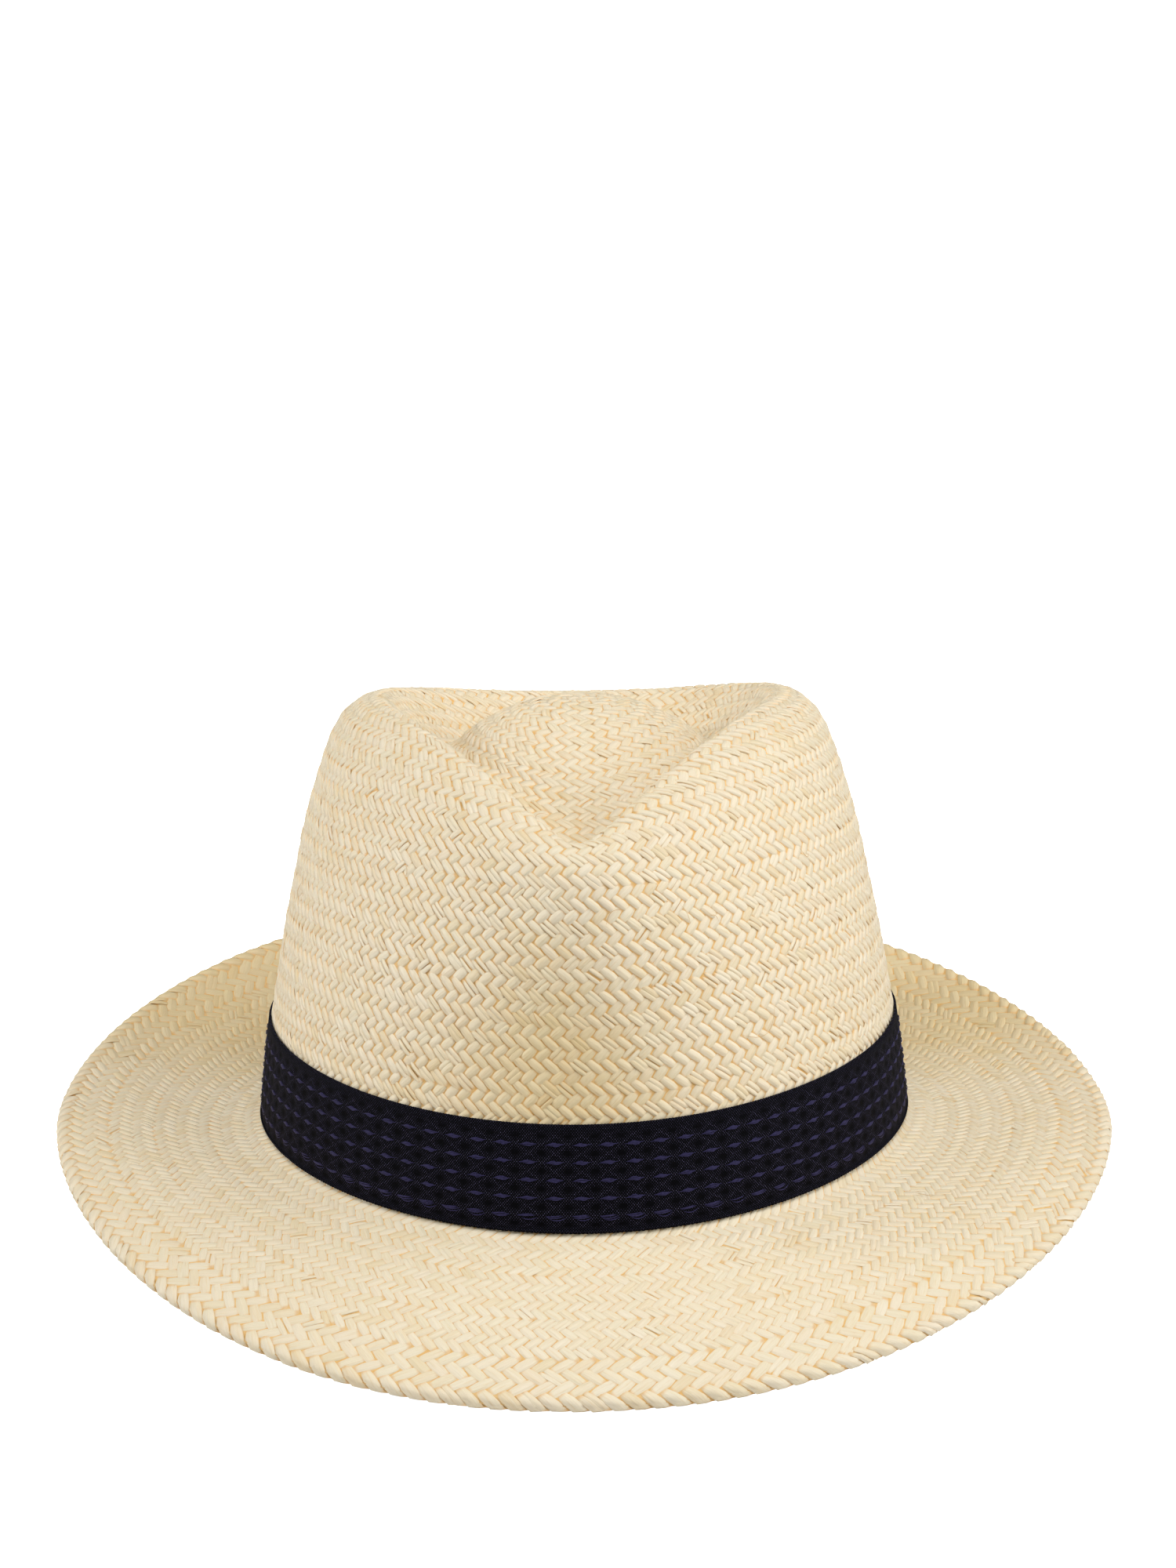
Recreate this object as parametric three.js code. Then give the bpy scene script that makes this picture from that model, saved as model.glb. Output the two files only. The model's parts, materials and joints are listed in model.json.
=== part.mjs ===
// Trilby panama hat, in millimetres with +Z up and the front of the hat towards -Y.
// The woven straw body is one shell: a lofted surface through closed sections that run from the
// tip of the crown, over the teardrop ridge, down the crown and out to the edge of the brim.
// The ribbon band is a ring that follows the same surface with a small clearance.
import * as THREE from "three";

// Driving dimensions, all measured on the outer face of the straw.
const headLength = 205; // front to back where the crown meets the brim
const headWidth = 170.5;
const crownFront = 92; // height of the ridge over the crown's foot, at the front notch
const crownSide = 108;
const crownBack = 101.5;
const footRise = 5; // the foot of the crown stands higher at the sides than in front
const taper = { front: 0.195, side: 0.12, back: 0.185 }; // lean of the crown wall, mm per mm
const ridgeInset = { front: 9.5, side: 13, back: 8 }; // ridge inside the line of the wall
const ridgePinch = 0.69; // how far the front of the teardrop is drawn in, as a share of its width
const grooveDepth = { front: 9.5, side: 14, back: 11.5 }; // channel round the dome, under the ridge
const grooveInset = { front: 15, side: 19, back: 15 };
const domeHeight = 111; // top of the dome over the front of the foot
const domeCentre = 16; // the dome's top lies behind the middle of the head
const brimWidth = { front: 49.5, side: 54.5, back: 48.5 }; // straight across, foot to edge
const brimDrop = 27.5; // the front edge under the foot
const brimRise = 25; // the back edge over the foot
const brimLean = 2; // the brim is lower on the right than on the left, by this each way
const brimTwist = 1; // and waves a little from quarter to quarter
const footFillet = 7; // width of the bend from crown to brim
const strawWall = 1.3;
const rimWall = 2.4; // strands folded back on themselves thicken the edge
const bandHeight = 27;
const bandWall = 1;
const bandClearance = 0.3;

// Mesh counts.
const around = 60;
const stepsBetween = [2, 2, 3, 3, 3, 3, 3, 2, 2, 2, 2, 2, 2, 2, 3]; // between one section and the next

const straw = { color: 0xeedfb8, roughness: 0.62, metalness: 0 };
const navy = { color: 0x14152a, roughness: 0.8, metalness: 0 };

// One closed section. reach is how far it stands out and height is how high, each in front, at the
// side and behind. pinch draws its front in, fullness under 1 squares its plan, and peak is the power
// of the cosine that carries the height from the side to the front and to the back.
function section(reach, height, shape = {}) {
  const plain = { pinch: 0, fullFront: 1, fullBack: 1, peakFront: 2, peakBack: 2, lean: 0 };
  return { reach, height, ...plain, ...shape };
}

const by = (make) => ({ front: make("front"), side: make("side"), back: make("back") });
const mix = (a, b, share) => a + (b - a) * share;

const foot = {
  reach: { front: headLength / 2, side: headWidth / 2, back: headLength / 2 },
  height: { front: 0, side: footRise, back: 0 },
};
const rise = { front: crownFront, side: crownSide, back: crownBack };

// A section on the crown wall at `up` millimetres over the foot, set in by `inset`.
function wallSection(up, inset, shape) {
  const reach = by((way) => foot.reach[way] - taper[way] * up[way] - inset[way]);
  const height = by((way) => foot.height[way] + up[way]);
  return section(reach, height, shape);
}

function crownSections() {
  const none = by(() => 0);
  const share = (part) => by((way) => rise[way] * part);
  const ridge = wallSection(rise, ridgeInset, { pinch: ridgePinch, fullBack: 0.84, peakFront: 2.4 });
  const inside = (insetShare, depthShare, shape) =>
    section(
      by((way) => ridge.reach[way] - grooveInset[way] * insetShare),
      by((way) => ridge.height[way] - grooveDepth[way] * depthShare),
      shape,
    );
  const groove = inside(1, 1, { pinch: 0.55, fullBack: 0.88, peakFront: 2.2 });
  const onDome = (outShare, downShare, shape) =>
    section(
      {
        front: mix(-domeCentre, groove.reach.front, outShare.front),
        side: groove.reach.side * outShare.side,
        back: mix(domeCentre, groove.reach.back, outShare.back),
      },
      by((way) => mix(domeHeight, groove.height[way], downShare[way])),
      shape,
    );
  const shares = (front, side, back) => ({ front, side, back });
  return [
    onDome(none, none, {}),
    onDome(shares(0.22, 0.35, 0.36), shares(0.13, 0.1, 0.09), { pinch: 0.1 }),
    onDome(shares(0.57, 0.7, 0.69), shares(0.56, 0.52, 0.52), { pinch: 0.35 }),
    groove,
    inside(0.45, 0.42, { pinch: 0.6, fullBack: 0.86, peakFront: 2.4 }),
    ridge,
    wallSection(share(0.957), by((way) => ridgeInset[way] * 0.3), { pinch: 0.54, fullBack: 0.86 }),
    wallSection(share(0.78), none, { pinch: 0.31, fullBack: 0.92 }),
    wallSection(share(0.52), none, { pinch: 0.09 }),
    wallSection(by(() => bandHeight * 0.98), none, {}),
    wallSection(by(() => bandHeight * 0.2), none, {}),
    section(foot.reach, foot.height),
  ];
}

function brimSections() {
  const out = (share) => by((way) => foot.reach[way] + brimWidth[way] * share);
  const shape = (share) => ({
    fullFront: 1 - 0.05 * share,
    fullBack: 1 - 0.05 * share,
    peakFront: 2 - 0.55 * share,
    peakBack: 2 - 0.7 * share,
    lean: share,
  });
  const at = (share, height) => section(out(share), height, shape(share));
  return [
    at(footFillet / brimWidth.side, { front: -brimDrop * 0.12, side: footRise * 0.5, back: -1.5 }),
    at(0.37, { front: -brimDrop * 0.32, side: footRise * 0.45, back: brimRise * 0.05 }),
    at(0.69, { front: -brimDrop * 0.62, side: footRise * 0.7, back: brimRise * 0.45 }),
    at(1, { front: -brimDrop, side: footRise * 0.75, back: brimRise }),
  ];
}

const sections = [...crownSections(), ...brimSections()];
const footIndex = crownSections().length - 1;
const bandTopIndex = footIndex - 2;
const edgeIndex = sections.length - 1;

// The point of a section at `angle`, which is 0 in front and a quarter turn on the right.
function sectionPoint(s, angle) {
  const ahead = Math.cos(angle);
  const aside = Math.sin(angle);
  const drawnIn = 1 - s.pinch * ((1 + ahead) / 2) ** 2.1;
  const full = ahead > 0 ? s.fullFront : s.fullBack;
  const x = s.reach.side * Math.sign(aside) * Math.abs(aside) ** full * drawnIn;
  const y = (s.reach.back - s.reach.front) / 2 - ((s.reach.back + s.reach.front) / 2) * ahead;
  const toFront = Math.max(0, ahead) ** s.peakFront;
  const toBack = Math.max(0, -ahead) ** s.peakBack;
  const level = s.height.side + (s.height.front - s.height.side) * toFront;
  const wave = s.lean * (-brimLean * aside + brimTwist * Math.sin(2 * angle));
  return new THREE.Vector3(x, y, level + (s.height.back - s.height.side) * toBack + wave);
}

// Centripetal Catmull-Rom between sections `i` and `i + 1`. Past the tip the curve goes on to the
// far side of the crown, and past the edge it goes straight on.
function surfacePoint(angle, place) {
  const i = Math.min(Math.floor(place), edgeIndex - 1);
  const t = place - i;
  const p1 = sectionPoint(sections[i], angle);
  const p2 = sectionPoint(sections[i + 1], angle);
  const p0 = i > 0 ? sectionPoint(sections[i - 1], angle) : sectionPoint(sections[1], angle + Math.PI);
  const p3 =
    i + 2 <= edgeIndex
      ? sectionPoint(sections[i + 2], angle)
      : p2.clone().multiplyScalar(2).sub(p1);
  const span = (a, b) => Math.sqrt(a.distanceTo(b)) + 1e-6;
  const [d0, d1, d2] = [span(p0, p1), span(p1, p2), span(p2, p3)];
  const slope = (a, b, c, da, db) =>
    b.clone().sub(a).divideScalar(da)
      .sub(c.clone().sub(a).divideScalar(da + db))
      .add(c.clone().sub(b).divideScalar(db))
      .multiplyScalar(d1);
  const m1 = slope(p0, p1, p2, d0, d1);
  const m2 = slope(p1, p2, p3, d1, d2);
  return p1.multiplyScalar(2 * t ** 3 - 3 * t ** 2 + 1)
    .addScaledVector(m1, t ** 3 - 2 * t ** 2 + t)
    .addScaledVector(p2, -2 * t ** 3 + 3 * t ** 2)
    .addScaledVector(m2, t ** 3 - t ** 2);
}

// Outward normal by central differences.
function surfaceNormal(angle, place) {
  const dAngle = 0.01;
  const dPlace = 0.02;
  const low = Math.max(place - dPlace, 0);
  const high = Math.min(place + dPlace, edgeIndex);
  if (place < dPlace) return new THREE.Vector3(0, 0, 1);
  const alongRing = surfacePoint(angle + dAngle, place).sub(surfacePoint(angle - dAngle, place));
  const downSection = surfacePoint(angle, high).sub(surfacePoint(angle, low));
  return downSection.cross(alongRing).normalize();
}

function offsetPoint(angle, place, offset) {
  return surfacePoint(angle, place).addScaledVector(surfaceNormal(angle, place), offset);
}

// Joins closed rings of equal length into one closed surface. A single point closes an end; without
// end points the last ring joins the first.
function ringMesh(name, rings, look, ends) {
  const points = rings.flat();
  const count = rings[0].length;
  const faces = [];
  const quadRow = (a, b) => {
    for (let j = 0; j < count; j++) {
      const k = (j + 1) % count;
      faces.push(a + j, b + j, b + k, a + j, b + k, a + k);
    }
  };
  for (let r = 0; r + 1 < rings.length; r++) quadRow(r * count, (r + 1) * count);
  if (ends) {
    const first = points.push(ends[0]) - 1;
    const last = points.push(ends[1]) - 1;
    const lastRing = (rings.length - 1) * count;
    for (let j = 0; j < count; j++) {
      const k = (j + 1) % count;
      faces.push(first, j, k);
      faces.push(last, lastRing + k, lastRing + j);
    }
  } else {
    quadRow((rings.length - 1) * count, 0);
  }
  const geometry = new THREE.BufferGeometry().setFromPoints(points);
  geometry.setIndex(faces);
  geometry.computeVertexNormals();
  const mesh = new THREE.Mesh(geometry, new THREE.MeshStandardMaterial(look));
  mesh.name = name;
  return mesh;
}

const angles = Array.from({ length: around }, (_, j) => (2 * Math.PI * j) / around);
const ring = (place, offset) => angles.map((angle) => offsetPoint(angle, place, offset));

// Places along the section list where the straw body has a ring, the tip left out.
function strawPlaces() {
  const places = [];
  stepsBetween.forEach((steps, i) => {
    for (let n = 1; n <= steps; n++) places.push(i + n / steps);
  });
  return places;
}

// The wall is even, and swells to the folded rim over the last stretch of the brim.
function strawThickness(place) {
  const toRim = Math.max(0, (place - (edgeIndex - 0.34)) / 0.34);
  return mix(strawWall, rimWall, Math.min(1, toRim));
}

function strawBody() {
  const places = strawPlaces();
  const outer = places.map((place) => ring(place, 0));
  const inner = places.map((place) => ring(place, -strawThickness(place))).reverse();
  const ends = [offsetPoint(0, 0, 0), offsetPoint(0, 0, -strawWall)];
  return ringMesh("straw_body", [...outer, ...inner], straw, ends);
}

function ribbonBand() {
  const steps = stepsBetween[bandTopIndex] + stepsBetween[bandTopIndex + 1];
  const places = Array.from({ length: steps + 1 }, (_, n) => mix(bandTopIndex, footIndex, n / steps));
  const outer = places.map((place) => ring(place, bandClearance + bandWall));
  const inner = places.map((place) => ring(place, bandClearance)).reverse();
  return ringMesh("ribbon_band", [...outer, ...inner], navy);
}

// The middle of a closed mesh's volume, from the tetrahedra that its faces make with the origin.
function middleOf(mesh) {
  const place = mesh.geometry.getAttribute("position");
  const corner = (n) => new THREE.Vector3().fromBufferAttribute(place, mesh.geometry.index.getX(n));
  const middle = new THREE.Vector3();
  let volume = 0;
  for (let n = 0; n < mesh.geometry.index.count; n += 3) {
    const [a, b, c] = [corner(n), corner(n + 1), corner(n + 2)];
    const part = a.dot(b.clone().cross(c)) / 6;
    volume += part;
    middle.addScaledVector(a.add(b).add(c), part / 4);
  }
  return middle.divideScalar(volume);
}

// How a loose mesh comes to rest on a level surface: pitch and roll go in ever finer steps towards
// the turn that brings its middle lowest over its lowest point.
function restingTurn(mesh) {
  const middle = middleOf(mesh);
  const place = mesh.geometry.getAttribute("position");
  const corner = (n) => new THREE.Vector3().fromBufferAttribute(place, n);
  const points = Array.from({ length: place.count }, (_, n) => corner(n));
  const lowestIn = (up) => points.reduce((low, p) => Math.min(low, p.dot(up)), Infinity);
  const turned = (pitch, roll) => new THREE.Quaternion().setFromEuler(new THREE.Euler(pitch, roll, 0));
  const measure = (pitch, roll) => {
    const up = new THREE.Vector3(0, 0, 1).applyQuaternion(turned(pitch, roll).invert());
    return { pitch, roll, height: middle.dot(up) - lowestIn(up) };
  };
  let best = measure(0, 0);
  for (let step = 0.04; step > 1e-5; step /= 2) {
    for (let moved = true; moved; ) {
      const tries = [[step, 0], [-step, 0], [0, step], [0, -step]];
      const next = tries.map(([dp, dr]) => measure(best.pitch + dp, best.roll + dr));
      const lower = next.sort((a, b) => a.height - b.height)[0];
      moved = lower.height < best.height;
      if (moved) best = lower;
    }
  }
  return turned(best.pitch, best.roll);
}

const body = strawBody();
const hat = new THREE.Group();
hat.name = "trilby_panama_hat";
hat.add(body, ribbonBand());

// The hat is drawn with the foot of the crown level, then set down on its brim, with the origin on
// the surface under the middle of its box.
hat.quaternion.copy(restingTurn(body));
const box = new THREE.Box3().setFromObject(hat, true);
hat.position.set(-(box.min.x + box.max.x) / 2, -(box.min.y + box.max.y) / 2, -box.min.z);

export default hat;
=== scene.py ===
"""Looks of a trilby panama hat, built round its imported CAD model.

The straw is a herringbone weave: every strand that shows is its own small domed patch, laid out on
rows that run level round the hat, on the form that the CAD body has. A golden core closes the gaps
between the strands. The ribbon is a figured band with raised threads and corded edges.
"""

import json
import math

import bpy
import numpy as np
from bpy.props import FloatProperty, FloatVectorProperty, IntProperty, PointerProperty
from mathutils import Matrix, Vector

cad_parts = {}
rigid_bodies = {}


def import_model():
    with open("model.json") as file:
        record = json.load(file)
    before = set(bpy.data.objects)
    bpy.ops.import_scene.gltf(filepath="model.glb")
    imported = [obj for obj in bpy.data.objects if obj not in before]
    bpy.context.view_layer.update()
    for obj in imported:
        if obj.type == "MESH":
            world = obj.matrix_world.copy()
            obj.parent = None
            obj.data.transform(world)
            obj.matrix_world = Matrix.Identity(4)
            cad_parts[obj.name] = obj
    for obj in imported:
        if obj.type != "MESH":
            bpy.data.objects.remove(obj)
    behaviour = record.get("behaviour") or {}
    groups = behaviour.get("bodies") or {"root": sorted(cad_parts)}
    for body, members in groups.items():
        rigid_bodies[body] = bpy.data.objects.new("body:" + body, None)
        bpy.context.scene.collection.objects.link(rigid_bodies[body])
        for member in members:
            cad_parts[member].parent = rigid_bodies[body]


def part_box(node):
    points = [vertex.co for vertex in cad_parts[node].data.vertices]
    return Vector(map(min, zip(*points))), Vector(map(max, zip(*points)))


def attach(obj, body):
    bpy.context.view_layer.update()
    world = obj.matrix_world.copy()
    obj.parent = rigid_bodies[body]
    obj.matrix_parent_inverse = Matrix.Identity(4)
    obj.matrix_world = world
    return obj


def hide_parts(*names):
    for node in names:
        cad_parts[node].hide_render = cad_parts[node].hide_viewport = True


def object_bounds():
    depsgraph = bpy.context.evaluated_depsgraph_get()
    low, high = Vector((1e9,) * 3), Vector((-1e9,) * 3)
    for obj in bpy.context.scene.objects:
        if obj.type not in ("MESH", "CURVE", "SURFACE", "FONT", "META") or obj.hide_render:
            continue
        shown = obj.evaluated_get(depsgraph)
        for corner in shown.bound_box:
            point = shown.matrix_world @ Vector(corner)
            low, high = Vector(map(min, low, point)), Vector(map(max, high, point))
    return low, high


bl_info = {
    "name": "Trilby panama hat",
    "version": (1, 0, 0),
    "blender": (4, 5, 0),
    "location": "View3D > Sidebar > Hat",
    "description": "Woven straw trilby with a figured ribbon, and the studio it stands in",
    "category": "Object",
}

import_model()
CAD_LOW, CAD_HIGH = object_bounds()
MM = 0.001


def maker(kind, ending="", **fixed):
    """A function that makes one kind of property from its name, its description and its
    default."""

    def make(name, description, default):
        return kind(name=name, description=description + ending, default=default, **fixed)

    return make


ALL_ROUND = ", in front, at the side and behind"
length = maker(FloatProperty, unit="LENGTH")
lengths = maker(FloatVectorProperty, ALL_ROUND, size=3, unit="LENGTH")
share = maker(FloatProperty)
shares = maker(FloatVectorProperty, ALL_ROUND, size=3)
whole = maker(IntProperty)
angle = maker(FloatProperty, subtype="ANGLE")
power = maker(FloatProperty, unit="POWER")
focal = maker(FloatProperty, unit="CAMERA")
colour = maker(FloatVectorProperty, size=3, subtype="COLOR", min=0, max=1)


class HatForm(bpy.types.PropertyGroup):
    """Outer face of the straw, as the CAD body has it."""

    head_length: length("Head length", "Front to back at the foot of the crown", 0.205)
    head_width: length("Head width", "Side to side at the foot of the crown", 0.1705)
    crown_rise: lengths("Crown rise", "Height of the ridge over the foot", (0.092, 0.108, 0.1015))
    foot_rise: length("Foot rise", "The foot stands higher at the sides by this", 0.005)
    taper: shares("Taper", "Lean of the crown wall", (0.195, 0.12, 0.185))
    ridge_inset: lengths("Ridge inset", "Ridge inside the line of the wall", (0.0095, 0.013, 0.008))
    ridge_pinch: share("Ridge pinch", "How far the front of the teardrop is drawn in", 0.69)
    groove_depth: lengths("Groove depth", "Channel under the ridge", (0.0095, 0.014, 0.0115))
    groove_inset: lengths("Groove inset", "Channel inside the ridge", (0.015, 0.019, 0.015))
    dome_height: length("Dome height", "Top of the dome over the front foot", 0.111)
    dome_centre: length("Dome centre", "The dome's top behind the middle of the head", 0.016)
    brim_width: lengths("Brim width", "Foot to edge, straight across", (0.0495, 0.0545, 0.0485))
    brim_drop: length("Brim drop", "Front edge under the foot", 0.0275)
    brim_rise: length("Brim rise", "Back edge over the foot", 0.025)
    brim_lean: length("Brim lean", "The brim is lower on the right by this each way", 0.002)
    brim_twist: length("Brim twist", "The brim waves from quarter to quarter", 0.001)
    foot_fillet: length("Foot fillet", "Width of the bend from crown to brim", 0.007)
    straw_wall: length("Straw wall", "Thickness of the woven sheet", 0.0013)
    rim_wall: length("Rim wall", "Thickness at the folded edge", 0.0024)
    rim_swell: length("Rim swell", "Width over which the wall thickens to the edge", 0.0058)
    band_height: length("Band height", "Height of the ribbon", 0.027)
    rest_pitch: angle("Rest pitch", "Turn about side to side as it stands", math.radians(-5.872817))
    rest_roll: angle("Rest roll", "Turn about front to back as it stands", math.radians(0.311098))


class StrawWeave(bpy.types.PropertyGroup):
    """The strands of the herringbone weave."""

    crown_row: length("Crown row", "Height of one row of strands on the crown", 0.00272)
    crown_spacing: length("Crown spacing", "From one strand to the next along a row", 0.0036)
    brim_row: length("Brim row", "Width of one row of strands on the brim", 0.0031)
    brim_spacing: length("Brim spacing", "From one strand to the next on the brim", 0.00335)
    border: length("Border", "Width of the border outside the ring line", 0.0127)
    border_strands: whole("Border strands", "Strands in each row of the border", 186)
    crown_lift: length("Crown lift", "How far a crown strand arches", 0.0004)
    brim_lift: length("Brim lift", "How far a brim strand arches", 0.00017)
    split_share: share("Split share", "Share of the crown's strands that are split in two", 0.34)
    core_depth: length("Core depth", "Core under the face of the weave", 0.00005)
    waviness: length("Waviness", "How far the rows wander", 0.00035)
    seed: whole("Seed", "Seed of every random draw", 11)


class RibbonCloth(bpy.types.PropertyGroup):
    """The figured ribbon round the crown."""

    inner: length("Inner face", "Inner face over the straw", 0.0004)
    outer: length("Outer face", "Outer face over the straw", 0.00105)
    columns: whole("Columns", "Figures in one row, all round", 88)
    rows: whole("Rows", "Rows of figures", 5)
    first_row: length("First row", "Top row of figures under the top edge", 0.0049)
    row_spacing: length("Row spacing", "From one row of figures to the next", 0.0044)
    figure_length: length("Figure length", "Length of a figure's longest thread", 0.0052)
    figure_height: length("Figure height", "Height of a figure at its middle", 0.0008)
    pit_depth: length("Pit depth", "Hollow between the figures", 0.00022)
    dots: whole("Dots", "Thread crossings from figure to figure", 10)
    dot_row: length("Dot row", "From one row of thread crossings to the next", 0.0004)
    cord_radius: length("Cord radius", "Radius of the beaded cord at the lower edge", 0.00042)


class HatColours(bpy.types.PropertyGroup):
    """Colours of the straw and the ribbon."""

    straw_light: colour("Straw, light", "Palest strands", (0.925, 0.83, 0.645))
    straw_mid: colour("Straw, middle", "Most strands", (0.88, 0.73, 0.48))
    straw_gold: colour("Straw, gold", "Yellower strands", (0.82, 0.625, 0.33))
    straw_green: colour("Straw, green", "Strands with a greenish cast", (0.85, 0.76, 0.52))
    straw_rose: colour("Straw, rose", "Strands with a pinkish cast", (0.90, 0.745, 0.545))
    # Painted shade in part: the golden brown of the gaps and the core, also painted where strands
    # turn down and tuck under.
    gap: colour("Gaps", "Inside the gaps and at the tucked ends", (0.82, 0.5, 0.18))
    core_light: colour("Core, light", "Lighter backs of strands in the gaps", (0.88, 0.62, 0.3))
    # Painted shade: what the straw's colour is multiplied by where shade is painted on, under the
    # crown's pinch and on the back of the brim.
    shade_tint: colour("Painted shade", "What deepened straw's own colour is multiplied by", (0.92, 0.86, 0.7))
    fibre: colour("Loose fibre", "Hairs that have come loose", (0.60, 0.33, 0.10))
    ribbon_ground: colour("Ribbon ground", "Plain weave of the ribbon", (0.0016, 0.0016, 0.0024))
    # Painted highlights: the glints of the ribbon's thread crossings.
    ribbon_glint: colour("Ribbon dots", "Thread crossings that catch the light", (0.1, 0.092, 0.165))
    ribbon_figure: colour("Ribbon figures", "Raised threads", (0.048, 0.042, 0.122))


class Studio(bpy.types.PropertyGroup):
    """Camera, lights and floor."""

    elevation: angle("Elevation", "Camera over the level of the origin", math.radians(22.527))
    azimuth: angle("Azimuth", "Camera round from the front", math.radians(-0.62))
    roll: angle("Roll", "Turn of the camera about its line of sight", math.radians(1.266))
    distance: length("Distance", "Camera to origin", 1.3)
    aim_up: angle("Aim up", "How far over the origin the camera looks", math.radians(4.53))
    aim_side: angle("Aim aside", "How far to the right of it the camera looks", math.radians(0.031))
    lens: focal("Lens", "Focal length in millimetres", 110.99)
    left_power: power("Left light", "Power in watts", 6.3)
    right_power: power("Right light", "Power in watts", 8.8)
    top_power: power("Top light", "Power in watts", 8.5)
    front_power: power("Front light", "Power in watts", 7.0)
    corner_power: power("Corner light", "Power in watts", 4.9)
    surround: share("Surround", "Strength of the even light from all round", 0.04)
    floor_glow: share("Floor glow", "How brightly the camera sees the floor glow", 1.2)


GROUPS = {
    "hat_form": HatForm,
    "straw_weave": StrawWeave,
    "ribbon_cloth": RibbonCloth,
    "hat_colours": HatColours,
    "hat_studio": Studio,
}


def settings(name):
    """One of this file's property groups, from the scene."""
    return getattr(bpy.context.scene, name)


# --- The form of the hat ------------------------------------------------------------------------


def section(
    reach, height, pinch=0.0, full_front=1.0, full_back=1.0, peak_front=2.0, peak_back=2.0, lean=0.0
):
    """One closed section as twelve numbers: reach and height in front, at the side and behind, then
    its shape."""
    shape = [pinch, full_front, full_back, peak_front, peak_back, lean]
    return np.concatenate([np.asarray(reach, float), np.asarray(height, float), shape])


def hat_sections(form):
    """The sections from the tip of the crown to the edge of the brim, one to a row."""
    foot_reach = np.array([form.head_length, form.head_width, form.head_length]) / 2
    foot_height = np.array([0.0, form.foot_rise, 0.0])
    rise, taper = np.array(form.crown_rise), np.array(form.taper)
    inset = np.array(form.ridge_inset)
    depth, groove_inset = np.array(form.groove_depth), np.array(form.groove_inset)
    band_up = np.full(3, form.band_height)

    def wall(up, set_in, **shape):
        return section(foot_reach - taper * up - set_in, foot_height + up, **shape)

    ridge = wall(rise, inset, pinch=form.ridge_pinch, full_back=0.84, peak_front=2.4)

    def inside(inset_share, depth_share, **shape):
        reach = ridge[:3] - groove_inset * inset_share
        return section(reach, ridge[3:6] - depth * depth_share, **shape)

    groove = inside(1, 1, pinch=0.55, full_back=0.88, peak_front=2.2)
    middle = np.array([-form.dome_centre, 0.0, form.dome_centre])

    def on_dome(out, down, pinch=0.0):
        reach = middle + (groove[:3] - middle) * out
        height = form.dome_height + (groove[3:6] - form.dome_height) * down
        return section(reach, height, pinch=pinch)

    brim_width = np.array(form.brim_width)
    drop, raised, side = form.brim_drop, form.brim_rise, form.foot_rise

    def brim(out, height):
        return section(
            foot_reach + brim_width * out,
            height,
            full_front=1 - 0.05 * out,
            full_back=1 - 0.05 * out,
            peak_front=2 - 0.55 * out,
            peak_back=2 - 0.7 * out,
            lean=out,
        )

    return np.array(
        [
            on_dome(np.zeros(3), np.zeros(3)),
            on_dome(np.array([0.22, 0.35, 0.36]), np.array([0.13, 0.1, 0.09]), 0.1),
            on_dome(np.array([0.57, 0.7, 0.69]), np.array([0.56, 0.52, 0.52]), 0.35),
            groove,
            inside(0.45, 0.42, pinch=0.6, full_back=0.86, peak_front=2.4),
            ridge,
            wall(rise * 0.957, inset * 0.3, pinch=0.54, full_back=0.86),
            wall(rise * 0.78, 0, pinch=0.31, full_back=0.92),
            wall(rise * 0.52, 0, pinch=0.09),
            wall(band_up * 0.98, 0),
            wall(band_up * 0.2, 0),
            section(foot_reach, foot_height),
            brim(form.foot_fillet / brim_width[1], [-drop * 0.12, side * 0.5, -1.5 * MM]),
            brim(0.37, [-drop * 0.32, side * 0.45, raised * 0.05]),
            brim(0.69, [-drop * 0.62, side * 0.7, raised * 0.45]),
            brim(1.0, [-drop, side * 0.75, raised]),
        ]
    )


FOOT, BAND_TOP, EDGE = 11, 9, 15  # indices of the foot, the ribbon's top and the brim's edge
STEPS = 24  # rings between one section and the next


def section_rings(form, sections, angles):
    """Points of each section at each angle, 0 in front and a quarter turn on the right. Across, a
    section goes as the sine to the power of its fullness, less the pinch, which grows towards the
    front. Along, it goes as the cosine. Its height goes from the side's to the front's and to the
    back's as a power of the cosine."""
    front, side, back, z_front, z_side, z_back, pinch, full_f, full_b, peak_f, peak_b, lean = (
        np.moveaxis(sections[:, None, :], -1, 0)
    )
    ahead, aside = np.cos(angles)[None], np.sin(angles)[None]
    drawn_in = 1 - pinch * ((1 + ahead) / 2) ** 2.1
    full = np.where(ahead > 0, full_f, full_b)
    x = side * np.sign(aside) * np.abs(aside) ** full * drawn_in
    y = (back - front) / 2 - (back + front) / 2 * ahead
    z = z_side + (z_front - z_side) * np.maximum(0, ahead) ** peak_f
    z = z + (z_back - z_side) * np.maximum(0, -ahead) ** peak_b
    z = z + lean * (form.brim_twist * np.sin(2 * angles) - form.brim_lean * aside)
    return np.stack(np.broadcast_arrays(x, y, z), -1)


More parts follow.
